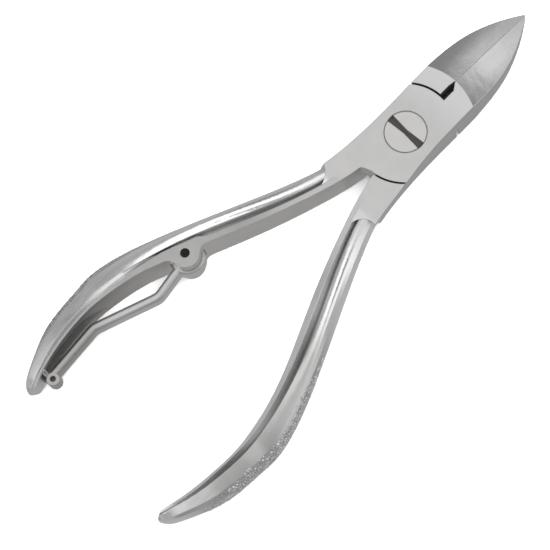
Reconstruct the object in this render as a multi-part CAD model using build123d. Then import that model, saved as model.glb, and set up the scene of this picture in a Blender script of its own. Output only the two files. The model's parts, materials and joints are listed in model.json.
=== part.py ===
from build123d import *
import math
import os

# A lap-jointed nail nipper lying flat, in millimetres.
# +Y runs to the jaw tips and +Z up the pivot axis.  The origin is the middle of the
# tool's footprint, on the plane the handles rest on.  Each lever is one forging: a jaw on
# one side, one plate of the lap joint in the middle and a handle on the other side.
# Every piece is drawn about the pivot at the tool's mid-plane and moved when it is written.

# Overall shape
HALF_HEIGHT = 4.6            # handles, above and below the mid-plane
HEAD_HALF = 3.8              # flat head, above and below the mid-plane
TIP_Y = 32.6
PIVOT_Y = 26.0               # the pivot stands this far ahead of the footprint's middle
LAP_HALF = 0.03              # half of the gap between the two plates
SEAM_HALF = 0.03             # each cutting edge stands this far from the centre plane

# Lap joint
FRONT_RADIUS = 9.4           # plate edge behind the opposite jaw
REAR_RADIUS = 9.9            # plate edge ahead of the opposite handle
FRONT_GAP = 0.4
REAR_GAP = 0.35
THROAT_Y = 13.6              # where the cutting edges start
THROAT_NOTCH = 1.6           # how far the throat opens behind them, on the upper level only
JAW_BACK = 5.0               # how far back a jaw's metal reaches, under the round plates
UPPER_INSET = 1.1            # behind the throat the upper lever's jaw is cut this far back
LOWER_INSET = 0.3            # and the lower lever's jaw this far, both on the upper level

# Crotch between the handle roots, on the -X side
CROTCH = [(1.25, -9.8), (-0.3, -10.15), (-1.75, -11.0)]   # rounded, where the root joins its plate
BARE_CROTCH = (-1.6, -9.0)                                # straight, on the other level
ROOT_ZONE = [(-5.0, -20.5), (-14.0, -25.0), (-14.0, -4.0), (1.25, -4.0)]

# Jaws
CROWN_RADIUS = 70.0          # the jaw faces are crowned across the tool
BASE_SLOPE = 10.0            # degrees the jaw faces fall towards the tip, where they start
TIP_SLOPE = 6.0              # and at the tip, so they are slightly hollow along the tool
EDGE_LAND = 0.5              # height of the cutting edge's flat land
RELIEF_ANGLE = 13.0          # degrees the inner face falls back below the land

# Pivot screw
SCREW_HEAD_RADIUS = 4.05
SCREW_HEAD_DEPTH = 1.5
SHANK_RADIUS = 2.5
RUNNING_GAP = 0.05
THREAD_GAP = 0.02
SLOT_END_WIDTH = 1.35
SLOT_WAIST = 0.9
SLOT_DEPTH = 0.8
FINE_CHAMFER = 0.12

# Clevis on the upper lever's handle, and the swing arm in it
ARM_PIVOT = (-13.9, -45.3)
BOSS_RADIUS = 2.8
BOSS_FLAT = 2.0              # how far the clevis flats run across the handle
BOSS_BURIED = 0.12           # how far the flats start inside the inner face
LAND_EDGE = [(0.8, 6.5), (BOSS_FLAT, 3.2), (BOSS_FLAT, -4.0), (0.8, -12.0)]   # outer edge of the flat land
BOSS_FILLET = 1.8
CLEVIS_TURN = 22.0           # degrees between the handle at the clevis and the Y axis
CLEVIS_HALF = 1.95
HUB_POCKET = 3.5
HUB_RADIUS = 3.4
ARM_HALF = 1.8
ARM_THICKNESS = 1.8
ARM_CORNER = 0.75
ARM_BEND = 3.0
ARM_LINE = [(-13.7, -47.0), (-12.55, -54.5), (-17.35, -67.2), (-16.5, -78.6)]
EYE_CENTRE = (-15.8, -79.35)
EYE_RADIUS = 1.35
EYE_HOLE = 0.5
PIN_RADIUS = 0.9
PIN_RECESS = 0.5

# Catch groove and pin at the tail of the upper lever's handle
GROOVE_HALF = 2.5
GROOVE = [(-19.2, -62.3), (-20.7, -71.0), (-18.6, -80.9)]
GROOVE_MOUTH = -14.0         # the groove is cut in from here, clear of the inner face
CATCH_CENTRE = (-18.3, -79.6)
CATCH_RADIUS = 0.55
CATCH_HALF = 3.0

# Outlines on the +X side.  The head's sides lean: each is wide at one face and narrow at
# the other, because both levers are the same forging turned over.
INNER_EDGE = [(1.2, -9.0), (5.6, -25.0), (13.0, -42.5), (19.0, -60.5), (19.1, -73.0), (16.4, -84.1)]
JAW_SIDE = [(0.12, TIP_Y), (2.5, 28.6), (4.15, 24.9), (5.3, 20.9), (5.85, 16.5), (6.0, 11.5)]
NARROW_SIDE = [(6.0, 11.5), (5.9, 0.0), (6.15, -7.0), (6.7, -12.5)]
NARROW_ROOT = [(7.1, -14.9), (6.0, -15.6), (4.4, -18.6)]
WIDE_SIDE = [(6.0, 11.5), (6.2, 0.0), (7.0, -7.0), (7.75, -13.0)]
WIDE_ROOT = [(8.3, -16.9), (6.3, -17.4), (4.9, -20.2)]

TAIL_ROUNDING = [(17.75, -80.0), (16.9, -82.9), (17.75, -84.8)]   # the inner edge turns out to the tail tip

# Side view of a handle from the head to the tail: distance along Y and half height.
SIDE_PROFILE = [(-15.0, HEAD_HALF), (-36.0, HALF_HEIGHT), (-71.0, HALF_HEIGHT), (-80.0, 3.6), (-85.5, 1.9)]

# Handle sections: place along the inner edge, width, half height of the back and of the
# crease, and how far across the width the crease lies.
HANDLE_SECTIONS = [
    (0.00, 4.0, 3.3, 2.9, 0.36),
    (0.10, 4.4, 3.6, 2.6, 0.36),
    (0.28, 4.95, 4.1, 2.8, 0.38),
    (0.45, 5.25, 4.3, 3.0, 0.40),
    (0.60, 5.6, 4.1, 3.4, 0.27),
    (0.72, 5.75, 3.85, 3.6, 0.20),
    (0.82, 4.95, 3.6, 3.4, 0.16),
    (0.90, 3.9, 3.4, 3.25, 0.17),
    (0.96, 2.85, 2.9, 2.8, 0.19),
    (0.99, 2.0, 2.25, 2.15, 0.22),
    (1.00, 1.3, 1.6, 1.5, 0.25),
]
RIM_HALF = 5.0               # rims start taller and are trimmed to the side view
RIM_SHARE = 0.38             # the flat rim, as a part of the way to the crease
BACK_START = 0.13            # parts of the way from the crease to the outer side
CROWN_PART = 0.42
BACK_END = 0.72
CORNER_PART = 0.92
FLANK_DROP = 0.2             # the back's inner and outer ends, as parts of its rise over the crease
SHELF_DROP = 0.22
SHOULDER = 0.72              # height of the outer corner, as a part of the back's
TAIL_TILT = 18.0             # degrees the back leans outwards, from
TILT_START = 0.45            # nothing at this place along the inner edge
TILT_FULL = 0.64             # to its full lean here


def prism(lines, low, high):
    """A closed plan outline made solid between two heights."""
    return Pos(0, 0, low) * extrude(make_face(lines), high - low)


def polygon(points):
    """Straight lines through the points and back to the first."""
    return Polyline(*points, close=True)


def disc(radius, low, high, centre=(0, 0)):
    """A round slug standing along Z."""
    return Pos(centre[0], centre[1], (low + high) / 2) * Cylinder(radius, high - low)


def mirrored(points):
    """The same points on the other side of the tool."""
    return [(-x, y) for x, y in points]


def handle_section(place, width, back, crease, crease_part, edge):
    """One closed section of a handle, square to its inner edge: rim, crease, back and side."""
    at = edge @ place
    along = edge % place
    plane = Plane(origin=at, x_dir=Vector(-along.Y, along.X, 0), z_dir=along)
    valley = crease_part * width
    rim = RIM_SHARE * valley
    reach = width - valley
    rise = back - crease
    lean = min(1.0, max(0.0, (place - TILT_START) / (TILT_FULL - TILT_START)))
    fall = reach * math.tan(math.radians(TAIL_TILT * lean))
    start = (valley + BACK_START * reach, back - FLANK_DROP * rise + fall * (CROWN_PART - BACK_START))
    crown = (valley + CROWN_PART * reach, back)
    end = (valley + BACK_END * reach, back - SHELF_DROP * rise - fall * (BACK_END - CROWN_PART))
    corner = (valley + CORNER_PART * reach, SHOULDER * back)
    upper = [
        Line((0, RIM_HALF), (rim, RIM_HALF)),
        Line((rim, RIM_HALF), (valley, crease)),
        Line((valley, crease), start),
        ThreePointArc(start, crown, end),
        Line(end, corner),
    ]
    lower = [mirror(line, about=Plane.XZ) for line in upper]
    side = ThreePointArc(corner, (width, 0), (corner[0], -corner[1]))
    return plane * make_face([Line((0, -RIM_HALF), (0, RIM_HALF)), side] + upper + lower)


def handle():
    """The +X handle, from the joint to its rounded tail."""
    edge = Spline(*INNER_EDGE)
    blank = loft([handle_section(*row, edge) for row in HANDLE_SECTIONS])
    top = [(0.0, HEAD_HALF)] + SIDE_PROFILE
    under = [(y, -z) for y, z in reversed(top)]
    side = Plane.YZ * make_face(polygon(top + under))
    outside = [(TAIL_ROUNDING[0][0] - 5, TAIL_ROUNDING[-1][1] - 2), (TAIL_ROUNDING[0][0] - 5, TAIL_ROUNDING[0][1])]
    waste = [ThreePointArc(*TAIL_ROUNDING), Polyline(TAIL_ROUNDING[-1], *outside, TAIL_ROUNDING[0])]
    return (blank & extrude(side, 40)) - prism(waste, -RIM_HALF, RIM_HALF)


def head_outline(left_side, left_root, right_side, right_root):
    """The plan of both jaws, the head and both handle roots at one face."""
    right = JAW_SIDE + right_side[1:] + right_root[:1]
    left = mirrored(JAW_SIDE + left_side[1:] + left_root[:1])
    left.reverse()
    left_root = mirrored(left_root)
    return make_face([
        Spline(*right),
        ThreePointArc(*right_root),
        Line(right_root[-1], left_root[-1]),
        ThreePointArc(*reversed(left_root)),
        Spline(*left),
        Line(left[-1], right[0]),
    ])


def head_blank():
    """The head as one slab, wide to the right on top and to the left underneath."""
    top = head_outline(NARROW_SIDE, NARROW_ROOT, WIDE_SIDE, WIDE_ROOT)
    under = head_outline(WIDE_SIDE, WIDE_ROOT, NARROW_SIDE, NARROW_ROOT)
    return loft([Pos(0, 0, -HEAD_HALF) * under, Pos(0, 0, HEAD_HALF) * top], ruled=True)


def jaw_zone(notch, low, high):
    """Space the +X jaw may fill, with the throat's notch on its inner side."""
    return prism(polygon([
        (SEAM_HALF, TIP_Y + 5),
        (SEAM_HALF, THROAT_Y),
        (notch, THROAT_Y - THROAT_NOTCH),
        (notch, JAW_BACK),
        (2 * JAW_SIDE[-1][0], JAW_BACK),
        (2 * JAW_SIDE[-1][0], TIP_Y + 5),
    ]), low, high)


def root_zone(joined, low, high):
    """Space the -X handle root may fill; a joined root blends into its plate."""
    if joined:
        crotch = [Line(ROOT_ZONE[-1], CROTCH[0]), ThreePointArc(*CROTCH)]
    else:
        crotch = [Polyline(ROOT_ZONE[-1], BARE_CROTCH, CROTCH[-1])]
    return prism(crotch + [Polyline(CROTCH[-1], *ROOT_ZONE)], low, high)


def crown(side):
    """A big round bar, bent along the tool, whose surface is one jaw face; side is +1 above, -1 below."""
    slope = math.radians(BASE_SLOPE)
    bend = (TIP_Y - THROAT_Y) / math.radians(BASE_SLOPE - TIP_SLOPE)
    centre = (0, THROAT_Y + bend * math.sin(slope), side * (HEAD_HALF + bend * math.cos(slope)))
    return Plane(origin=centre, x_dir=(0, 1, 0), z_dir=(1, 0, 0)) * Torus(bend + CROWN_RADIUS, CROWN_RADIUS)


def relief():
    """The wedge that hollows the inner face below the cutting edge."""
    slope = math.radians((BASE_SLOPE + TIP_SLOPE) / 2)
    deep = 8.0
    back = SEAM_HALF + (deep - EDGE_LAND) * math.tan(math.radians(RELIEF_ANGLE))
    plane = Plane(origin=(0, THROAT_Y, HEAD_HALF), x_dir=(1, 0, 0), z_dir=(0, math.cos(slope), -math.sin(slope)))
    wedge = make_face(polygon([(-2, EDGE_LAND), (SEAM_HALF, EDGE_LAND), (back, deep), (-2, deep)]))
    return plane * extrude(wedge, TIP_Y)


def lever(plate_inset, other_inset, hollow):
    """A lever with its jaw on +X, its handle on -X and its plate of the lap joint on top."""
    far = HALF_HEIGHT + 2
    upper = (LAP_HALF, far)
    under = (-far, LAP_HALF)
    ahead = Pos(0, 10, 0) * Box(60, 20, 40)
    behind = Pos(0, -10, 0) * Box(60, 20, 40)
    plate = (disc(FRONT_RADIUS, *upper) & ahead) + (disc(REAR_RADIUS, *upper) & behind)
    plate = plate + jaw_zone(plate_inset, *upper) + root_zone(True, *upper)
    clear_rear = disc(REAR_RADIUS + REAR_GAP, *under)
    other = jaw_zone(other_inset, *under) - disc(FRONT_RADIUS + FRONT_GAP, *under)
    other = other + (root_zone(False, *under) - clear_rear)
    head = head_blank()
    body = (head & plate) + (head & other)
    body = body & crown(1) & crown(-1)
    body = body - hollow
    arm = mirror(handle(), about=Plane.YZ) - clear_rear
    return body + arm


def boss():
    """The clevis boss: a round lug that bulges inwards from a flat widening of the rim."""
    lug = Circle(BOSS_RADIUS) & Pos(BOSS_RADIUS - BOSS_FLAT, 0) * Rectangle(2 * BOSS_RADIUS, 2 * BOSS_RADIUS)
    inner_end, outer_end = LAND_EDGE[-1][1], LAND_EDGE[0][1]
    land = make_face(polygon([(-BOSS_BURIED, inner_end), (-BOSS_BURIED, outer_end)] + mirrored(LAND_EDGE)))
    plan = lug + land
    roots = [v for v in plan.vertices() if abs(v.X + BOSS_BURIED) < 0.01 and abs(v.Y) < BOSS_RADIUS]
    plan = fillet(roots, BOSS_FILLET)
    solid = extrude(plan, HALF_HEIGHT, both=True)
    return Pos(*ARM_PIVOT) * Rot(0, 0, -CLEVIS_TURN) * solid


def upper_lever():
    """The lever with the screw's sunk seat, the clevis and the catch groove."""
    body = lever(UPPER_INSET, SEAM_HALF, relief()) + boss()
    seat = HEAD_HALF - SCREW_HEAD_DEPTH - RUNNING_GAP
    mouth = SCREW_HEAD_RADIUS + RUNNING_GAP
    body = body - disc(mouth, seat, HALF_HEIGHT)
    body = body - Pos(0, 0, HEAD_HALF) * Cone(mouth, mouth + 2 * FINE_CHAMFER, 2 * FINE_CHAMFER)
    body = body - disc(SHANK_RADIUS + RUNNING_GAP, -HALF_HEIGHT, HALF_HEIGHT)
    body = body - disc(HUB_POCKET, -CLEVIS_HALF, CLEVIS_HALF, ARM_PIVOT)
    body = body - disc(PIN_RADIUS + THREAD_GAP, -6, 6, ARM_PIVOT)
    mouth_ends = [(GROOVE_MOUTH, GROOVE[-1][1]), (GROOVE_MOUTH, GROOVE[0][1])]
    groove = [ThreePointArc(*GROOVE), Polyline(GROOVE[-1], *mouth_ends, GROOVE[0])]
    body = body - prism(groove, -GROOVE_HALF, GROOVE_HALF)
    return body - disc(CATCH_RADIUS + THREAD_GAP, -CATCH_HALF, CATCH_HALF, CATCH_CENTRE)


def lower_lever():
    """The plain lever, with the hole the pivot screw is fixed in."""
    hollow = mirror(relief(), about=Plane.XY)
    body = Rot(0, 180, 0) * lever(SEAM_HALF, LOWER_INSET, hollow)
    return body - disc(SHANK_RADIUS + THREAD_GAP, -HALF_HEIGHT, 0)


def pivot_screw():
    """The flush slotted screw; its slot is waisted in the middle."""
    head = disc(SCREW_HEAD_RADIUS, HEAD_HALF - SCREW_HEAD_DEPTH, HEAD_HALF)
    shank = disc(SHANK_RADIUS, -HEAD_HALF, HEAD_HALF)
    reach = SCREW_HEAD_RADIUS + 1
    end = SLOT_END_WIDTH / 2 * reach / SCREW_HEAD_RADIUS
    waist = SLOT_WAIST / 2
    slot = polygon([(-reach, -end), (0, -waist), (reach, -end), (reach, end), (0, waist), (-reach, end)])
    head = chamfer(head.edges().group_by(Axis.Z)[-1], FINE_CHAMFER)
    return head + shank - prism(slot, HEAD_HALF - SLOT_DEPTH, HEAD_HALF + 1)


def round_pin(radius, half, centre):
    """A plain pin with eased ends."""
    pin = Cylinder(radius, 2 * half)
    return Pos(*centre) * chamfer(pin.edges().filter_by(GeomType.CIRCLE), FINE_CHAMFER)


def swing_arm():
    """The arm: a hub in the clevis, a bent bar and a rolled eye at its end."""
    path = FilletPolyline(*ARM_LINE, radius=ARM_BEND)
    plane = Plane(origin=path @ 0, x_dir=(0, 0, 1), z_dir=path % 0)
    bar = sweep(plane * RectangleRounded(2 * ARM_HALF, ARM_THICKNESS, ARM_CORNER), path=path)
    hub = Cylinder(HUB_RADIUS, 2 * ARM_HALF)
    hub = chamfer(hub.edges().filter_by(GeomType.CIRCLE), 2 * FINE_CHAMFER)
    eye = Cylinder(EYE_RADIUS, 2 * ARM_HALF)
    eye = chamfer(eye.edges().filter_by(GeomType.CIRCLE), FINE_CHAMFER)
    body = bar + Pos(*ARM_PIVOT) * hub + Pos(*EYE_CENTRE) * eye
    body = body - disc(PIN_RADIUS + RUNNING_GAP, -5, 5, ARM_PIVOT)
    return body - disc(EYE_HOLE, -5, 5, EYE_CENTRE)


PIECES = {
    "upper_lever": upper_lever(),
    "lower_lever": lower_lever(),
    "pivot_screw": pivot_screw(),
    "swing_arm": swing_arm(),
    "arm_pin": round_pin(PIN_RADIUS, HALF_HEIGHT - PIN_RECESS, ARM_PIVOT),
    "catch_pin": round_pin(CATCH_RADIUS, CATCH_HALF, CATCH_CENTRE),
}

os.makedirs("parts", exist_ok=True)
for node, piece in PIECES.items():
    export_step(Pos(0, PIVOT_Y, HALF_HEIGHT) * piece, "parts/" + node + ".step")
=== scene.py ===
import json
import math
import random
from types import SimpleNamespace

import bpy
from mathutils import Matrix, Vector
from mathutils.bvhtree import BVHTree


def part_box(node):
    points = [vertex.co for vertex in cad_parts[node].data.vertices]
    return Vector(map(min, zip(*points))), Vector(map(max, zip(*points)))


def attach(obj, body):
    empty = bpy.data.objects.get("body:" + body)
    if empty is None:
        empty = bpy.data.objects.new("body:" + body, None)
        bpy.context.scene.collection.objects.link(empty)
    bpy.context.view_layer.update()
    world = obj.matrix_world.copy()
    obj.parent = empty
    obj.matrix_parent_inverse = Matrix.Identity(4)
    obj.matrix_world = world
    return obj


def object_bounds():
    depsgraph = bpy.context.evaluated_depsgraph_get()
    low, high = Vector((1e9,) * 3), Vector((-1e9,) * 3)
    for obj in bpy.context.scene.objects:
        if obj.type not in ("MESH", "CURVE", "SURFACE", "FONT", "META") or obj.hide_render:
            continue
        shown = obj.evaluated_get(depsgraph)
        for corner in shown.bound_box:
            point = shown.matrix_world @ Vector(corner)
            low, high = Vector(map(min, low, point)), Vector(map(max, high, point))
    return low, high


# The looks of a steel nail nipper lying on a pale table.  Lengths are metres in the packed
# model's frame: +Y to the jaw tips, +Z up.
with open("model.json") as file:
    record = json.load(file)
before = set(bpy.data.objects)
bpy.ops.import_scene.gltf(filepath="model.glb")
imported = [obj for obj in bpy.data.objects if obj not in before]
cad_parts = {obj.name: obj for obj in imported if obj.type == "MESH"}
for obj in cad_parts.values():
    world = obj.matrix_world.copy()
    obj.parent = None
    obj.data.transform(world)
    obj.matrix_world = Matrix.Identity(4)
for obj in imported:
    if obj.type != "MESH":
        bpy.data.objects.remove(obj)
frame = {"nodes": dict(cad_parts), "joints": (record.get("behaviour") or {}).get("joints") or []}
cad_low, cad_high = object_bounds()

MM = 0.001
JOINTS = {joint["name"]: joint for joint in frame["joints"]}
PIVOT = Vector(JOINTS["jaw_hinge"]["pos_m"])
HEAD_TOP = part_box("pivot_screw")[1].z
HEAD_HALF = HEAD_TOP - PIVOT.z          # half the head's thickness
HANDLE_HALF = cad_high.z - PIVOT.z      # half the handles' thickness

# Places in Y along the head: a look comes in between the two.
HEAD_BRIGHTENS = (PIVOT.y + 3.0 * MM, PIVOT.y + 12.0 * MM)
JAW_STARTS = (PIVOT.y + 11.4 * MM, PIVOT.y + 11.6 * MM)

# Distances behind the pivot along a handle: a look comes in, or goes out, between the two.
HANDLE_STARTS = (14.0 * MM, 18.0 * MM)
RIM_RISES = (15.0 * MM, 36.0 * MM)      # from the head's thickness to the handle's
ROOT_ENDS = (17.0 * MM, 27.0 * MM)
RIM_DULLS = (20.0 * MM, 34.0 * MM)
# painted shade: the polish is darkened, and made rougher, over the handle's back half
BACK_SHADE_STARTS = (32.0 * MM, 45.0 * MM)
BACK_SHADE_ENDS = (68.0 * MM, 84.0 * MM)
# painted shade on the handles' inner sides towards the back; they are lighter again at the tail's
# end
INNER_PAINTED_SHADE = (44.0 * MM, 72.0 * MM)
INNER_LIGHTENS = (76.5 * MM, 80.8 * MM)
# a streaked, rougher polish towards the tail; its darker colour is painted shade that dims the
# highlight
STREAK_SHADE_STARTS = (50.0 * MM, 73.0 * MM)
STREAK_SHADE_ENDS = (74.0 * MM, 83.5 * MM)
TAIL_STARTS = (56.0 * MM, 62.0 * MM)
TAIL_ENDS = (79.6 * MM, 80.6 * MM)
# painted shade darkens the swing arm towards the tail, dimming its reflection
ARM_PAINTED_SHADE = (62.0 * MM, 70.0 * MM)

# Throat: the small opening behind the cutting edges, painted dark as shade.
THROAT_FRONT = PIVOT.y + 14.0 * MM
THROAT_BACK = PIVOT.y + 9.2 * MM
THROAT_HALF = 1.5 * MM
THROAT_EDGE = 0.3 * MM                  # its painted shade comes in over this width

# Heights off the middle plane where two looks of a handle's outer side end.
GRIP_ENDS = (3.1 * MM, 3.4 * MM)
# below these heights the painted shade on the outer side is darker
OUTER_SHADE_ENDS = (3.5 * MM, 3.9 * MM)

# Grip texture on the outer side of each handle: a band of small raised grains.
GRIP_FRONT = PIVOT.y - 41.0 * MM
GRIP_REAR = PIVOT.y - 78.0 * MM
GRIP_TAPER = 7.0 * MM                   # the band widens over this length at each end
GRIP_END_WIDTH = 0.45                   # its width at the very ends, as a share of the full one
GRIP_THINS = 0.7                        # past this share of its half width grains get fewer
GRIP_EDGE_LOSS = 0.9                    # the share of them left out at its very edges
GRIP_STEP = 0.46 * MM                   # from one grain to the next, both ways
GRIP_STRAY = 0.35                       # how far a grain strays, as a share of a step
GRIP_CORE = 2.0 * MM                    # grains stand out from a line this far inside the handle
GRIP_ROUND = 1.3 * GRIP_CORE            # about how far the surface is from that line
GRIP_FACING = 0.3                       # least cosine between the surface's normal and that way out
OUTSIDE = 60.0 * MM                     # in X: clear of both handles
OFF_HANDLE = 12.0 * MM                  # from the core line: clear of its own handle
BOX_MARGIN = 0.01 * MM                  # grains stay this far inside the CAD box
GRAIN_RADIUS = (0.16 * MM, 0.31 * MM)
GRAIN_HEIGHT = (0.05 * MM, 0.13 * MM)
GRAIN_LEAST_HEIGHT = 0.02 * MM
GRAIN_SIDES = 6
GRAIN_RINGS = ((1.0, -0.4), (0.72, 0.62))   # shares of its radius and height, foot first

# Rolled eye at the end of the swing arm.
EYE_RADIUS = 1.35 * MM
# the eye's hole, painted black as shade out to about this radius
EYE_HOLE = 0.5 * MM
EYE_OFFSET = 1.0 * MM                   # in X, from the arm pin's side away from the other handle
EYE_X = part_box("arm_pin")[0].x - EYE_OFFSET
EYE_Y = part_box("swing_arm")[0].y + EYE_RADIUS

# Steel.
EDGE_RADIUS = 0.14 * MM                 # every edge is drawn this round
CREVICE_SHADE_REACH = 1.6 * MM                  # painted shade darkens the steel where other surfaces are this near
# the screw's slot is painted dark as shade, deepening between these heights
SLOT_PAINTED_SHADE = (HEAD_TOP - 0.12 * MM, HEAD_TOP - 0.45 * MM)

# Studio.  Greys of the room by height: 0 is straight down, 0.5 the horizon and 1 straight up.
ROOM_GREYS = (
    (0.0, 0.46),
    (0.46, 0.42),
    (0.52, 0.24),
    (0.60, 0.42),
    (0.70, 0.48),
    (0.80, 0.40),
    (1.0, 0.42),
)
GLOW_WIDENING = (0.6, 1.0, 1.0)         # makes the glow on the jaw wider in X
JAW_GLOW = (-0.115, 0.475, 0.858)       # the direction it comes from, after that widening
HANDLE_GLOW = (-0.205, -0.555, 0.806)   # the direction it comes from
FLOOR_HALF = 1.2
LIGHT_PLACE = Vector((0.1, 0.1, 1.0))
LIGHT_SIZE = 1.4
LIGHT_POWER = 30.0                      # watts

# Camera: it looks down on the tool from its +X side.
CAMERA_DISTANCE = 0.5
CAMERA_AIM = Vector((0.0004, -0.0103, 0.0046))
CAMERA_TURN = 68.55                     # degrees about Z
CAMERA_TILT = 15.42                     # degrees away from straight down
CAMERA_ROLL = -24.85                    # degrees about its own axis
CAMERA_LENS = 173.8                     # millimetres on a 36 mm sensor


# ---------------------------------------------------------------- shader helpers

class Nodes:
    """A small builder for one node tree."""

    def __init__(self, tree):
        self.tree = tree
        tree.nodes.clear()

    def add(self, kind, inputs=None, **settings):
        node = self.tree.nodes.new(kind)
        for key, value in settings.items():
            setattr(node, key, value)
        for key, value in (inputs or {}).items():
            self.feed(node.inputs[key], value)
        return node

    def feed(self, socket, value):
        if isinstance(value, bpy.types.NodeSocket):
            self.tree.links.new(value, socket)
        else:
            socket.default_value = value

    def coordinates(self, kind):
        """Object for the place and Normal for the normal, both in the piece's own frame;
        Generated for the direction in a world."""
        return self.add("ShaderNodeTexCoord").outputs[kind]

    def axes(self, vector):
        return self.add("ShaderNodeSeparateXYZ", {"Vector": vector}).outputs[:]

    def stretched(self, place, scale):
        return self.add("ShaderNodeMapping", {"Vector": place, "Scale": scale}).outputs["Vector"]

    def distance(self, a, b):
        node = self.add("ShaderNodeVectorMath", {0: a, 1: b}, operation="DISTANCE")
        return node.outputs["Value"]

    def math(self, operation, *values):
        return self.add("ShaderNodeMath", dict(enumerate(values)), operation=operation).outputs[0]

    def absolute(self, value):
        return self.math("ABSOLUTE", value)

    def remap(self, value, low, high, at_low, at_high, how="LINEAR"):
        """Goes from at_low to at_high as the value goes from low to high."""
        inputs = {
            "Value": value,
            "From Min": low,
            "From Max": high,
            "To Min": at_low,
            "To Max": at_high,
        }
        return self.add("ShaderNodeMapRange", inputs, interpolation_type=how).outputs["Result"]

    def fade(self, value, low, high):
        """0 below low, 1 above high and smooth between; low above high turns it round."""
        if low < high:
            return self.remap(value, low, high, 0.0, 1.0, "SMOOTHSTEP")
        return self.remap(value, high, low, 1.0, 0.0, "SMOOTHSTEP")

    def between(self, value, start, end):
        """Comes in over the stretch start and goes out over the stretch end."""
        return self.both(self.fade(value, *start), self.fade(value, end[1], end[0]))

    def both(self, first, *others):
        """Where all masks meet; a number makes a mask weaker."""
        for other in others:
            first = self.math("MULTIPLY", first, other)
        return first

    def either(self, a, b):
        return self.math("MAXIMUM", a, b)

    def without(self, a, b):
        """Mask a where mask b is 0."""
        return self.both(a, self.math("SUBTRACT", 1.0, b))

    def mix(self, share, a, b):
        """Number a where share is 0 and b where it is 1."""
        return self.add("ShaderNodeMix", {0: share, 2: a, 3: b}, data_type="FLOAT").outputs[0]

    def blend(self, share, a, b):
        """Colour a where share is 0 and b where it is 1."""
        return self.add("ShaderNodeMix", {0: share, 6: a, 7: b}, data_type="RGBA").outputs[2]

    def noise(self, place, scale, detail, rough=0.5):
        """Noise with one scale, or with one for each axis."""
        if isinstance(scale, tuple):
            place = self.stretched(place, scale)
            scale = 1.0
        inputs = {"Vector": place, "Scale": scale, "Detail": detail, "Roughness": rough}
        return self.add("ShaderNodeTexNoise", inputs).outputs["Fac"]

    def close(self, kind, shader):
        """Ends the tree with an output node of that kind."""
        self.tree.links.new(shader.outputs[0], self.add(kind).inputs["Surface"])


def grey(value, warmth=0.0):
    """A nearly neutral colour; warmth lifts red and lowers blue."""
    return (value * (1 + warmth), value, value * (1 - warmth), 1.0)


def start_material(name):
    """A new material and the builder of its nodes."""
    material = bpy.data.materials.new(name)
    material.use_nodes = True
    return material, Nodes(material.node_tree)


def finish_steel(nodes, colour, metallic, roughness, height, depth, edge_highlight=0.35, gloss=0.5):
    """Closes a steel material: painted shade where other surfaces are near, and a painted highlight
    along the edges.

    height and depth give the bump, edge_highlight says how bright the painted edge highlight is
    and gloss is the specular level.
    """
    rounded = nodes.add("ShaderNodeBevel", {"Radius": EDGE_RADIUS}, samples=6).outputs["Normal"]
    bump = nodes.add("ShaderNodeBump", {
        "Strength": 1.0,
        "Distance": depth,
        "Height": height,
        "Normal": rounded,
    })
    plain = nodes.add("ShaderNodeNewGeometry").outputs["Normal"]
    lined_up = nodes.add("ShaderNodeVectorMath", {0: rounded, 1: plain}, operation="DOT_PRODUCT")
    # painted highlight: lighter along every edge, where the rounded normal turns away
    edge = nodes.fade(lined_up.outputs["Value"], 0.995, 0.93)
    # painted shade: darker where other surfaces are near, as in creases and between parts
    occlusion = nodes.add("ShaderNodeAmbientOcclusion", {"Distance": CREVICE_SHADE_REACH}, samples=8)
    crevice_shade = nodes.fade(occlusion.outputs["AO"], 0.45, 0.12)
    colour = nodes.blend(nodes.both(edge, edge_highlight), colour, grey(0.95))
    colour = nodes.blend(nodes.both(crevice_shade, 0.6), colour, grey(0.05, 0.06))
    shader = nodes.add("ShaderNodeBsdfPrincipled", {
        "Base Color": colour,
        "Metallic": metallic,
        "Roughness": roughness,
        "Specular IOR Level": gloss,
        "Normal": bump.outputs["Normal"],
    })
    nodes.close("ShaderNodeOutputMaterial", shader)


# ---------------------------------------------------------------- materials

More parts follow.
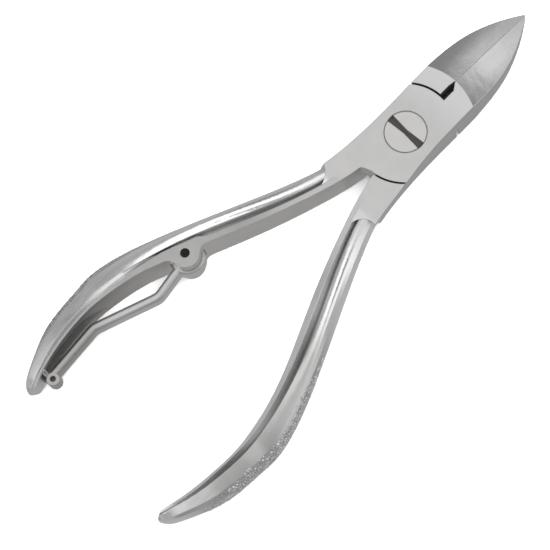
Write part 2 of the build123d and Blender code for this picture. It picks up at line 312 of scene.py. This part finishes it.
def lever_zones(nodes, place, normal, side):
    """Masks for the zones of a lever's surface, and back, the distance behind the pivot."""
    x, y, z = nodes.axes(place)
    nx, _, nz = nodes.axes(normal)
    back = nodes.math("SUBTRACT", PIVOT.y, y)
    off_middle = nodes.absolute(nodes.math("SUBTRACT", z, PIVOT.z))
    level = nodes.absolute(nz)
    outward = nodes.math("MULTIPLY", nx, side)

    # Flats: the head and the handles' rims, and the rims of the tails, which tilt a little.
    rim_half = nodes.remap(back, *RIM_RISES, HEAD_HALF, HANDLE_HALF)
    above_rim = nodes.math("SUBTRACT", off_middle, rim_half)
    flat = nodes.both(
        nodes.fade(level, 0.9945, 0.9985),
        nodes.fade(above_rim, -0.10 * MM, -0.04 * MM),
    )
    tail_rim = nodes.both(
        nodes.between(back, TAIL_STARTS, TAIL_ENDS),
        nodes.fade(level, 0.85, 0.92),
        nodes.fade(nodes.absolute(nx), 0.06, 0.03),
    )
    flat = nodes.either(flat, tail_rim)

    # Upright walls, the handle's inner and outer sides, and the sloped face of the jaw.
    wall = nodes.fade(level, 0.32, 0.16)
    handle = nodes.fade(back, *HANDLE_STARTS)
    inner = nodes.both(handle, nodes.fade(outward, -0.35, -0.65), nodes.fade(level, 0.5, 0.2))
    outer = nodes.fade(outward, 0.30, 0.55)
    jaw = nodes.both(nodes.fade(y, *JAW_STARTS), nodes.fade(flat, 0.9, 0.1))
    polish = nodes.either(nodes.without(handle, inner), nodes.without(jaw, wall))

    grip = nodes.both(
        outer,
        nodes.fade(y, GRIP_FRONT, GRIP_FRONT - GRIP_TAPER),
        nodes.fade(y, GRIP_REAR, GRIP_REAR + GRIP_TAPER),
        nodes.fade(off_middle, GRIP_ENDS[1], GRIP_ENDS[0]),
    )
    # where the throat's painted shade goes
    throat = nodes.both(
        nodes.fade(y, THROAT_BACK, THROAT_BACK + THROAT_EDGE),
        nodes.fade(y, THROAT_FRONT, THROAT_FRONT - THROAT_EDGE),
        nodes.fade(nodes.absolute(x), THROAT_HALF, THROAT_HALF - THROAT_EDGE),
        nodes.fade(off_middle, HEAD_HALF - 0.08 * MM, HEAD_HALF - 0.3 * MM),
    )
    low_outer = nodes.both(
        outer,
        nodes.fade(off_middle, OUTER_SHADE_ENDS[1], OUTER_SHADE_ENDS[0]),
    )
    return SimpleNamespace(
        back=back,
        wall=wall,
        inner=inner,
        low_outer=low_outer,
        polish=nodes.without(polish, flat),
        grip=grip,
        throat=throat,
        head_front=nodes.fade(y, *HEAD_BRIGHTENS),
        root=nodes.between(back, HANDLE_STARTS, ROOT_ENDS),
        streak_shade=nodes.between(back, STREAK_SHADE_STARTS, STREAK_SHADE_ENDS),
        back_shade=nodes.between(back, BACK_SHADE_STARTS, BACK_SHADE_ENDS),
    )


def lever_steel(name, side, back_shade_share, root_roughness):
    """Forged steel of one lever: satin head and rims, polished jaw and handle, dull inner side.

    side is the sign of X at the lever's handle, back_shade_share says how strongly painted shade
    darkens the back half of the polish, which is also rougher there, and root_roughness holds
    where the handle leaves the head.
    """
    material, nodes = start_material(name)
    place = nodes.coordinates("Object")
    zone = lever_zones(nodes, place, nodes.coordinates("Normal"), side)
    # painted shade that dims the back half of the polish
    back_shade = nodes.both(zone.back_shade, back_shade_share)
    cloud = nodes.noise(place, 260, 4.0, 0.6)
    smear = nodes.noise(place, (900, 160, 900), 3.0, 0.6)
    streak = nodes.noise(place, (1500, 130, 1500), 4.0, 0.65)
    grain = nodes.noise(place, (9000, 5200, 9000), 2.0, 0.6)
    pebble = nodes.noise(place, 3200, 1.0)
    speck = nodes.fade(nodes.noise(place, 2600, 2.0), 0.68, 0.76)

    satin = nodes.blend(cloud, grey(0.63, 0.005), grey(0.72, 0.01))
    satin = nodes.blend(zone.head_front, satin, grey(0.78))
    satin = nodes.blend(zone.wall, satin, grey(0.60, 0.01))
    rim = nodes.blend(cloud, grey(0.42, 0.005), grey(0.56, 0.01))
    satin = nodes.blend(nodes.fade(zone.back, *RIM_DULLS), satin, rim)

    bright = nodes.blend(smear, grey(0.86), grey(0.93))
    streaked = nodes.blend(nodes.fade(streak, 0.3, 0.7), grey(0.62, 0.01), grey(0.80))
    # streaked, rougher polish towards the tail, its darker colour painted shade on the highlight
    bright = nodes.blend(zone.streak_shade, bright, streaked)
    # colour of that painted shade, darker low on the outer side
    back_shade_colour = nodes.blend(zone.low_outer, grey(0.51, 0.01), grey(0.46, 0.01))
    bright = nodes.blend(back_shade, bright, back_shade_colour)

    dull = nodes.blend(cloud, grey(0.62, 0.01), grey(0.76, 0.02))
    # painted shade on the inner side towards the back, lighter again at the tail's end
    dull = nodes.blend(nodes.fade(zone.back, *INNER_PAINTED_SHADE), dull, grey(0.34, 0.03))
    dull = nodes.blend(nodes.fade(zone.back, *INNER_LIGHTENS), dull, grey(0.80, 0.01))

    colour = nodes.blend(zone.polish, satin, bright)
    colour = nodes.blend(zone.inner, colour, dull)
    colour = nodes.blend(nodes.both(speck, 0.18), colour, grey(0.25))
    # painted shade in the low spots of the grip's bumps
    hollow_shade = nodes.both(zone.grip, nodes.fade(pebble, 0.52, 0.36))
    colour = nodes.blend(hollow_shade, colour, grey(0.34))
    # painted shade in the throat
    colour = nodes.blend(zone.throat, colour, grey(0.30, 0.05))

    smooth = nodes.mix(zone.streak_shade, nodes.mix(smear, 0.06, 0.14), nodes.mix(streak, 0.20, 0.40))
    smooth = nodes.mix(zone.root, smooth, root_roughness)
    smooth = nodes.mix(back_shade, smooth, 0.34)
    roughness = nodes.mix(zone.polish, nodes.mix(grain, 0.36, 0.50), smooth)
    roughness = nodes.mix(zone.inner, roughness, 0.5)
    roughness = nodes.mix(zone.grip, roughness, 0.34)
    roughness = nodes.mix(zone.throat, roughness, 0.8)

    height = nodes.mix(zone.polish, grain, nodes.math("MULTIPLY", cloud, 1.5))
    height = nodes.mix(zone.grip, height, nodes.math("MULTIPLY", pebble, 6.0))
    finish_steel(nodes, colour, 1.0, roughness, height, 0.01 * MM)
    return material


def screw_steel():
    """Satin steel ground flush with the head; the slot is painted nearly black as shade."""
    material, nodes = start_material("screw_satin")
    place = nodes.coordinates("Object")
    z = nodes.axes(place)[2]
    # painted shade in the slot
    slot = nodes.both(nodes.fade(z, *SLOT_PAINTED_SHADE), nodes.fade(z, PIVOT.z, PIVOT.z + 1 * MM))
    cloud = nodes.noise(place, 500, 4.0, 0.6)
    grain = nodes.noise(place, (9000, 2500, 9000), 2.0, 0.6)
    colour = nodes.blend(cloud, grey(0.65, 0.01), grey(0.74, 0.01))
    colour = nodes.blend(slot, colour, grey(0.045, 0.12))
    metallic = nodes.mix(slot, 1.0, 0.4)
    roughness = nodes.mix(slot, nodes.mix(grain, 0.34, 0.48), 0.7)
    finish_steel(nodes, colour, metallic, roughness, grain, 0.01 * MM)
    return material


def arm_steel():
    """Polished spring steel, brushed along its length; the eye's hole is painted black as shade."""
    material, nodes = start_material("arm_polished")
    place = nodes.coordinates("Object")
    level = nodes.absolute(nodes.axes(nodes.coordinates("Normal"))[2])
    back = nodes.math("SUBTRACT", PIVOT.y, nodes.axes(place)[1])
    from_eye = nodes.distance(nodes.stretched(place, (1, 1, 0)), (EYE_X, EYE_Y, 0))
    # painted shade in the eye's hole
    hole = nodes.fade(from_eye, EYE_HOLE + 0.15 * MM, EYE_HOLE + 0.03 * MM)
    streak = nodes.noise(place, (2600, 500, 5200), 3.0, 0.6)
    cloud = nodes.noise(place, 420, 3.0, 0.5)
    colour = nodes.blend(streak, grey(0.50, 0.01), grey(0.76))
    colour = nodes.blend(nodes.both(cloud, 0.3), colour, grey(0.40, 0.02))
    colour = nodes.blend(nodes.fade(level, 0.6, 0.3), colour, grey(0.72, 0.01))
    # painted shade dims the arm's rear part
    colour = nodes.blend(nodes.both(nodes.fade(back, *ARM_PAINTED_SHADE), 0.6), colour, grey(0.34, 0.02))
    colour = nodes.blend(hole, colour, grey(0.03, 0.1))
    roughness = nodes.mix(streak, 0.30, 0.44)
    finish_steel(nodes, colour, 1.0, roughness, streak, 0.012 * MM)
    return material


def pin_steel():
    """Dull pin ends in sunk holes, painted nearly black as shade."""
    material, nodes = start_material("pin_dull_shade")
    cloud = nodes.noise(nodes.coordinates("Object"), 1500, 4.0, 0.6)
    # painted shade: nearly black, as the pins sit deep in their holes
    colour = nodes.blend(cloud, grey(0.004, 0.08), grey(0.012, 0.06))
    roughness = nodes.mix(cloud, 0.6, 0.8)
    finish_steel(nodes, colour, 0.0, roughness, cloud, 0.02 * MM, edge_highlight=0.01, gloss=0.05)
    return material


def catch_steel():
    """The bright catch pin the arm's eye rests against."""
    material, nodes = start_material("catch_bright")
    cloud = nodes.noise(nodes.coordinates("Object"), 1500, 4.0, 0.6)
    colour = nodes.blend(cloud, grey(0.7), grey(0.9))
    finish_steel(nodes, colour, 1.0, nodes.mix(cloud, 0.15, 0.3), cloud, 0.01 * MM)
    return material


def grain_steel():
    """The raised grains of the grip texture: worn bright on some and dull on others."""
    material, nodes = start_material("grip_grains")
    place = nodes.coordinates("Object")
    patch = nodes.noise(place, 1700, 2.0, 0.6)
    fine = nodes.noise(place, 6000, 2.0, 0.5)
    colour = nodes.blend(nodes.fade(patch, 0.36, 0.60), grey(0.50, 0.01), grey(0.97))
    roughness = nodes.mix(nodes.fade(patch, 0.4, 0.6), 0.42, 0.16)
    finish_steel(nodes, colour, 1.0, roughness, fine, 0.006 * MM)
    return material


# ---------------------------------------------------------------- grip texture

def add_grain(verts, faces, spot, normal, radius, height, turn):
    """A low dome standing on a surface; its foot is sunk a little below it."""
    across = normal.orthogonal().normalized()
    up = normal.cross(across)
    first = len(verts)
    for share, rise in GRAIN_RINGS:
        for i in range(GRAIN_SIDES):
            angle = turn + 2 * math.pi * i / GRAIN_SIDES
            ring = across * math.cos(angle) + up * math.sin(angle)
            verts.append(spot + ring * radius * share + normal * height * rise)
    verts.append(spot + normal * height)
    top = first + 2 * GRAIN_SIDES
    for i in range(GRAIN_SIDES):
        j = (i + 1) % GRAIN_SIDES
        foot = (first + i, first + j)
        ring = (first + GRAIN_SIDES + i, first + GRAIN_SIDES + j)
        faces.append((foot[0], foot[1], ring[1], ring[0]))
        faces.append((ring[0], ring[1], top))


def grip_texture(name, node, body, material, side, reach, seed):
    """Raised grains over one handle's outer side, reach degrees to each side of its middle."""
    rng = random.Random(seed)
    mesh = frame["nodes"][node].data
    corners = [vertex.co for vertex in mesh.vertices]
    tree = BVHTree.FromPolygons(corners, [face.vertices[:] for face in mesh.polygons])
    middle = (cad_low.z + cad_high.z) / 2
    box_side = abs(cad_high.x if side > 0 else cad_low.x)
    verts = []
    faces = []
    for row in range(int((GRIP_FRONT - GRIP_REAR) / GRIP_STEP)):
        y = GRIP_FRONT - (row + 0.5) * GRIP_STEP
        outer = tree.ray_cast(Vector((side * OUTSIDE, y, middle)), Vector((-side, 0, 0)))[0]
        if outer is None:
            continue
        core = outer - Vector((side * GRIP_CORE, 0, 0))
        end = min(GRIP_FRONT - y, y - GRIP_REAR) / GRIP_TAPER
        limit = math.radians(reach) * min(1.0, GRIP_END_WIDTH + (1 - GRIP_END_WIDTH) * end)
        step = GRIP_STEP / GRIP_ROUND
        angle = -limit + step * rng.random()
        while angle < limit:
            lean = angle + rng.uniform(-GRIP_STRAY, GRIP_STRAY) * step
            drift = rng.uniform(-GRIP_STRAY, GRIP_STRAY) * GRIP_STEP
            edge = abs(lean) / limit
            angle += step
            if rng.random() < GRIP_EDGE_LOSS * max(0.0, edge - GRIP_THINS) / (1 - GRIP_THINS):
                continue
            out = Vector((side * math.cos(lean), 0, math.sin(lean)))
            start = core + out * OFF_HANDLE + Vector((0, drift, 0))
            spot, normal = tree.ray_cast(start, -out)[:2]
            if spot is None or normal.dot(out) < GRIP_FACING:
                continue
            radius = rng.uniform(*GRAIN_RADIUS)
            height = rng.uniform(*GRAIN_HEIGHT)
            room = box_side - abs(spot.x) - BOX_MARGIN
            height = min(height, room)
            if height < GRAIN_LEAST_HEIGHT:
                continue
            add_grain(verts, faces, spot, normal, radius, height, rng.uniform(0, math.pi))
    shape = bpy.data.meshes.new(name)
    shape.from_pydata(verts, [], faces)
    shape.polygons.foreach_set("use_smooth", [True] * len(shape.polygons))
    shape.materials.append(material)
    piece = bpy.data.objects.new(name, shape)
    bpy.context.scene.collection.objects.link(piece)
    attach(piece, body)


# ---------------------------------------------------------------- stage

def make_floor():
    """A wide pale table top, left out of the steel's reflections."""
    mesh = bpy.data.meshes.new("floor")
    corners = [(-1, -1), (1, -1), (1, 1), (-1, 1)]
    places = [(x * FLOOR_HALF, y * FLOOR_HALF, cad_low.z) for x, y in corners]
    mesh.from_pydata(places, [], [(0, 1, 2, 3)])
    floor = bpy.data.objects.new("floor", mesh)
    bpy.context.scene.collection.objects.link(floor)
    material, nodes = start_material("floor_white")
    shader = nodes.add("ShaderNodeBsdfPrincipled", {
        "Base Color": grey(0.95),
        "Roughness": 0.9,
        "Specular IOR Level": 0.0,
    })
    nodes.close("ShaderNodeOutputMaterial", shader)
    mesh.materials.append(material)
    floor.visible_glossy = False


def room_colour(nodes, y, z):
    """The dim grey room; it is darkest high up at the jaws' end."""
    ramp = nodes.add("ShaderNodeValToRGB", {"Fac": nodes.math("MULTIPLY_ADD", z, 0.5, 0.5)})
    points = ramp.color_ramp.elements
    while len(points) < len(ROOM_GREYS):
        points.new(0.5)
    for point, (at, value) in zip(points, ROOM_GREYS):
        point.position = at
        point.color = grey(value)
    front = nodes.both(nodes.fade(y, 0.28, 0.42), nodes.fade(z, 0.4, 0.6))
    return nodes.blend(front, ramp.outputs["Color"], grey(0.23))


def light_mask(nodes, x, y, z):
    """One wide softbox overhead, and a weaker panel ahead on the +X side that reaches below the
    horizon.

    The softbox is a little askew, narrows at its front end and spreads to +X towards the tails.
    """
    across = nodes.math("MULTIPLY_ADD", y, -0.34, nodes.math("MULTIPLY", x, 0.94))
    spread = nodes.math("MULTIPLY_ADD", nodes.fade(y, -0.08, -0.26), -0.60, across)
    beside = nodes.absolute(nodes.math("ADD", x, 0.19))
    ahead = nodes.math("MULTIPLY_ADD", nodes.both(beside, nodes.fade(y, 0.15, 0.45)), 1.2, y)
    softbox = nodes.both(
        nodes.fade(across, -0.70, -0.40),
        nodes.fade(spread, 0.32, 0.10),
        nodes.fade(ahead, 0.47, 0.24),
        nodes.fade(y, -0.55, -0.2),
        nodes.fade(z, 0.3, 0.5),
    )
    panel = nodes.both(
        nodes.fade(x, 0.12, 0.40),
        nodes.fade(y, 0.14, 0.30),
        nodes.fade(z, -0.30, -0.05),
    )
    return nodes.either(softbox, nodes.both(panel, 0.8))


def make_world():
    """The studio the steel reflects: a dim room, a softbox, a panel and two small glows."""
    world = bpy.data.worlds.new("studio")
    world.use_nodes = True
    nodes = Nodes(world.node_tree)
    direction = nodes.coordinates("Generated")
    x, y, z = nodes.axes(direction)
    off_jaw_glow = nodes.distance(nodes.stretched(direction, GLOW_WIDENING), JAW_GLOW)
    jaw_glow = nodes.both(
        nodes.fade(off_jaw_glow, 0.135, 0.005),
        nodes.fade(y, 0.52, 0.475),
        nodes.mix(nodes.fade(y, 0.448, 0.478), 0.66, 1.0),
    )
    handle_glow = nodes.fade(nodes.distance(direction, HANDLE_GLOW), 0.085, 0.03)
    colour = nodes.blend(jaw_glow, room_colour(nodes, y, z), grey(0.86))
    colour = nodes.blend(handle_glow, colour, grey(0.9))
    colour = nodes.blend(light_mask(nodes, x, y, z), colour, grey(1.2))
    background = nodes.add("ShaderNodeBackground", {"Color": colour, "Strength": 1.0})
    nodes.close("ShaderNodeOutputWorld", background)
    bpy.context.scene.world = world


def make_light():
    """A square softbox aimed at the tool from above, left out of the steel's reflections."""
    light = bpy.data.lights.new("floor_light", "AREA")
    light.shape = "SQUARE"
    light.size = LIGHT_SIZE
    light.energy = LIGHT_POWER
    lamp = bpy.data.objects.new("floor_light", light)
    lamp.location = LIGHT_PLACE
    lamp.rotation_euler = (-LIGHT_PLACE).to_track_quat("-Z", "Y").to_euler()
    lamp.visible_glossy = False
    bpy.context.scene.collection.objects.link(lamp)


def make_camera():
    """The camera, set by where it aims, how far off it is and how it is turned."""
    camera = bpy.data.cameras.new("camera")
    camera.lens = CAMERA_LENS
    camera.sensor_width = 36.0
    camera.clip_start = 0.01
    camera.clip_end = 10.0
    holder = bpy.data.objects.new("camera", camera)
    bpy.context.scene.collection.objects.link(holder)
    turn = Matrix.Rotation(math.radians(CAMERA_TURN), 4, "Z")
    tilt = Matrix.Rotation(math.radians(CAMERA_TILT), 4, "X")
    roll = Matrix.Rotation(math.radians(CAMERA_ROLL), 4, "Z")
    back = Matrix.Translation((0, 0, CAMERA_DISTANCE))
    holder.matrix_world = Matrix.Translation(CAMERA_AIM) @ turn @ tilt @ back @ roll
    bpy.context.scene.camera = holder


# ---------------------------------------------------------------- build

def dress(node, material):
    """Gives a CAD node one material."""
    mesh = frame["nodes"][node].data
    mesh.materials.clear()
    mesh.materials.append(material)


dress("upper_lever", lever_steel("upper_lever_steel", side=-1, back_shade_share=0.0, root_roughness=0.30))
dress("lower_lever", lever_steel("lower_lever_steel", side=1, back_shade_share=0.8, root_roughness=0.55))
dress("pivot_screw", screw_steel())
dress("swing_arm", arm_steel())
dress("arm_pin", pin_steel())
dress("catch_pin", catch_steel())

grains = grain_steel()
grip_texture("upper_grip_texture", "upper_lever", "upper", grains, side=-1, reach=58, seed=3)
grip_texture("lower_grip_texture", "lower_lever", "lower", grains, side=1, reach=76, seed=5)

make_floor()
make_world()
make_light()
make_camera()
bpy.context.scene.view_settings.view_transform = "Standard"
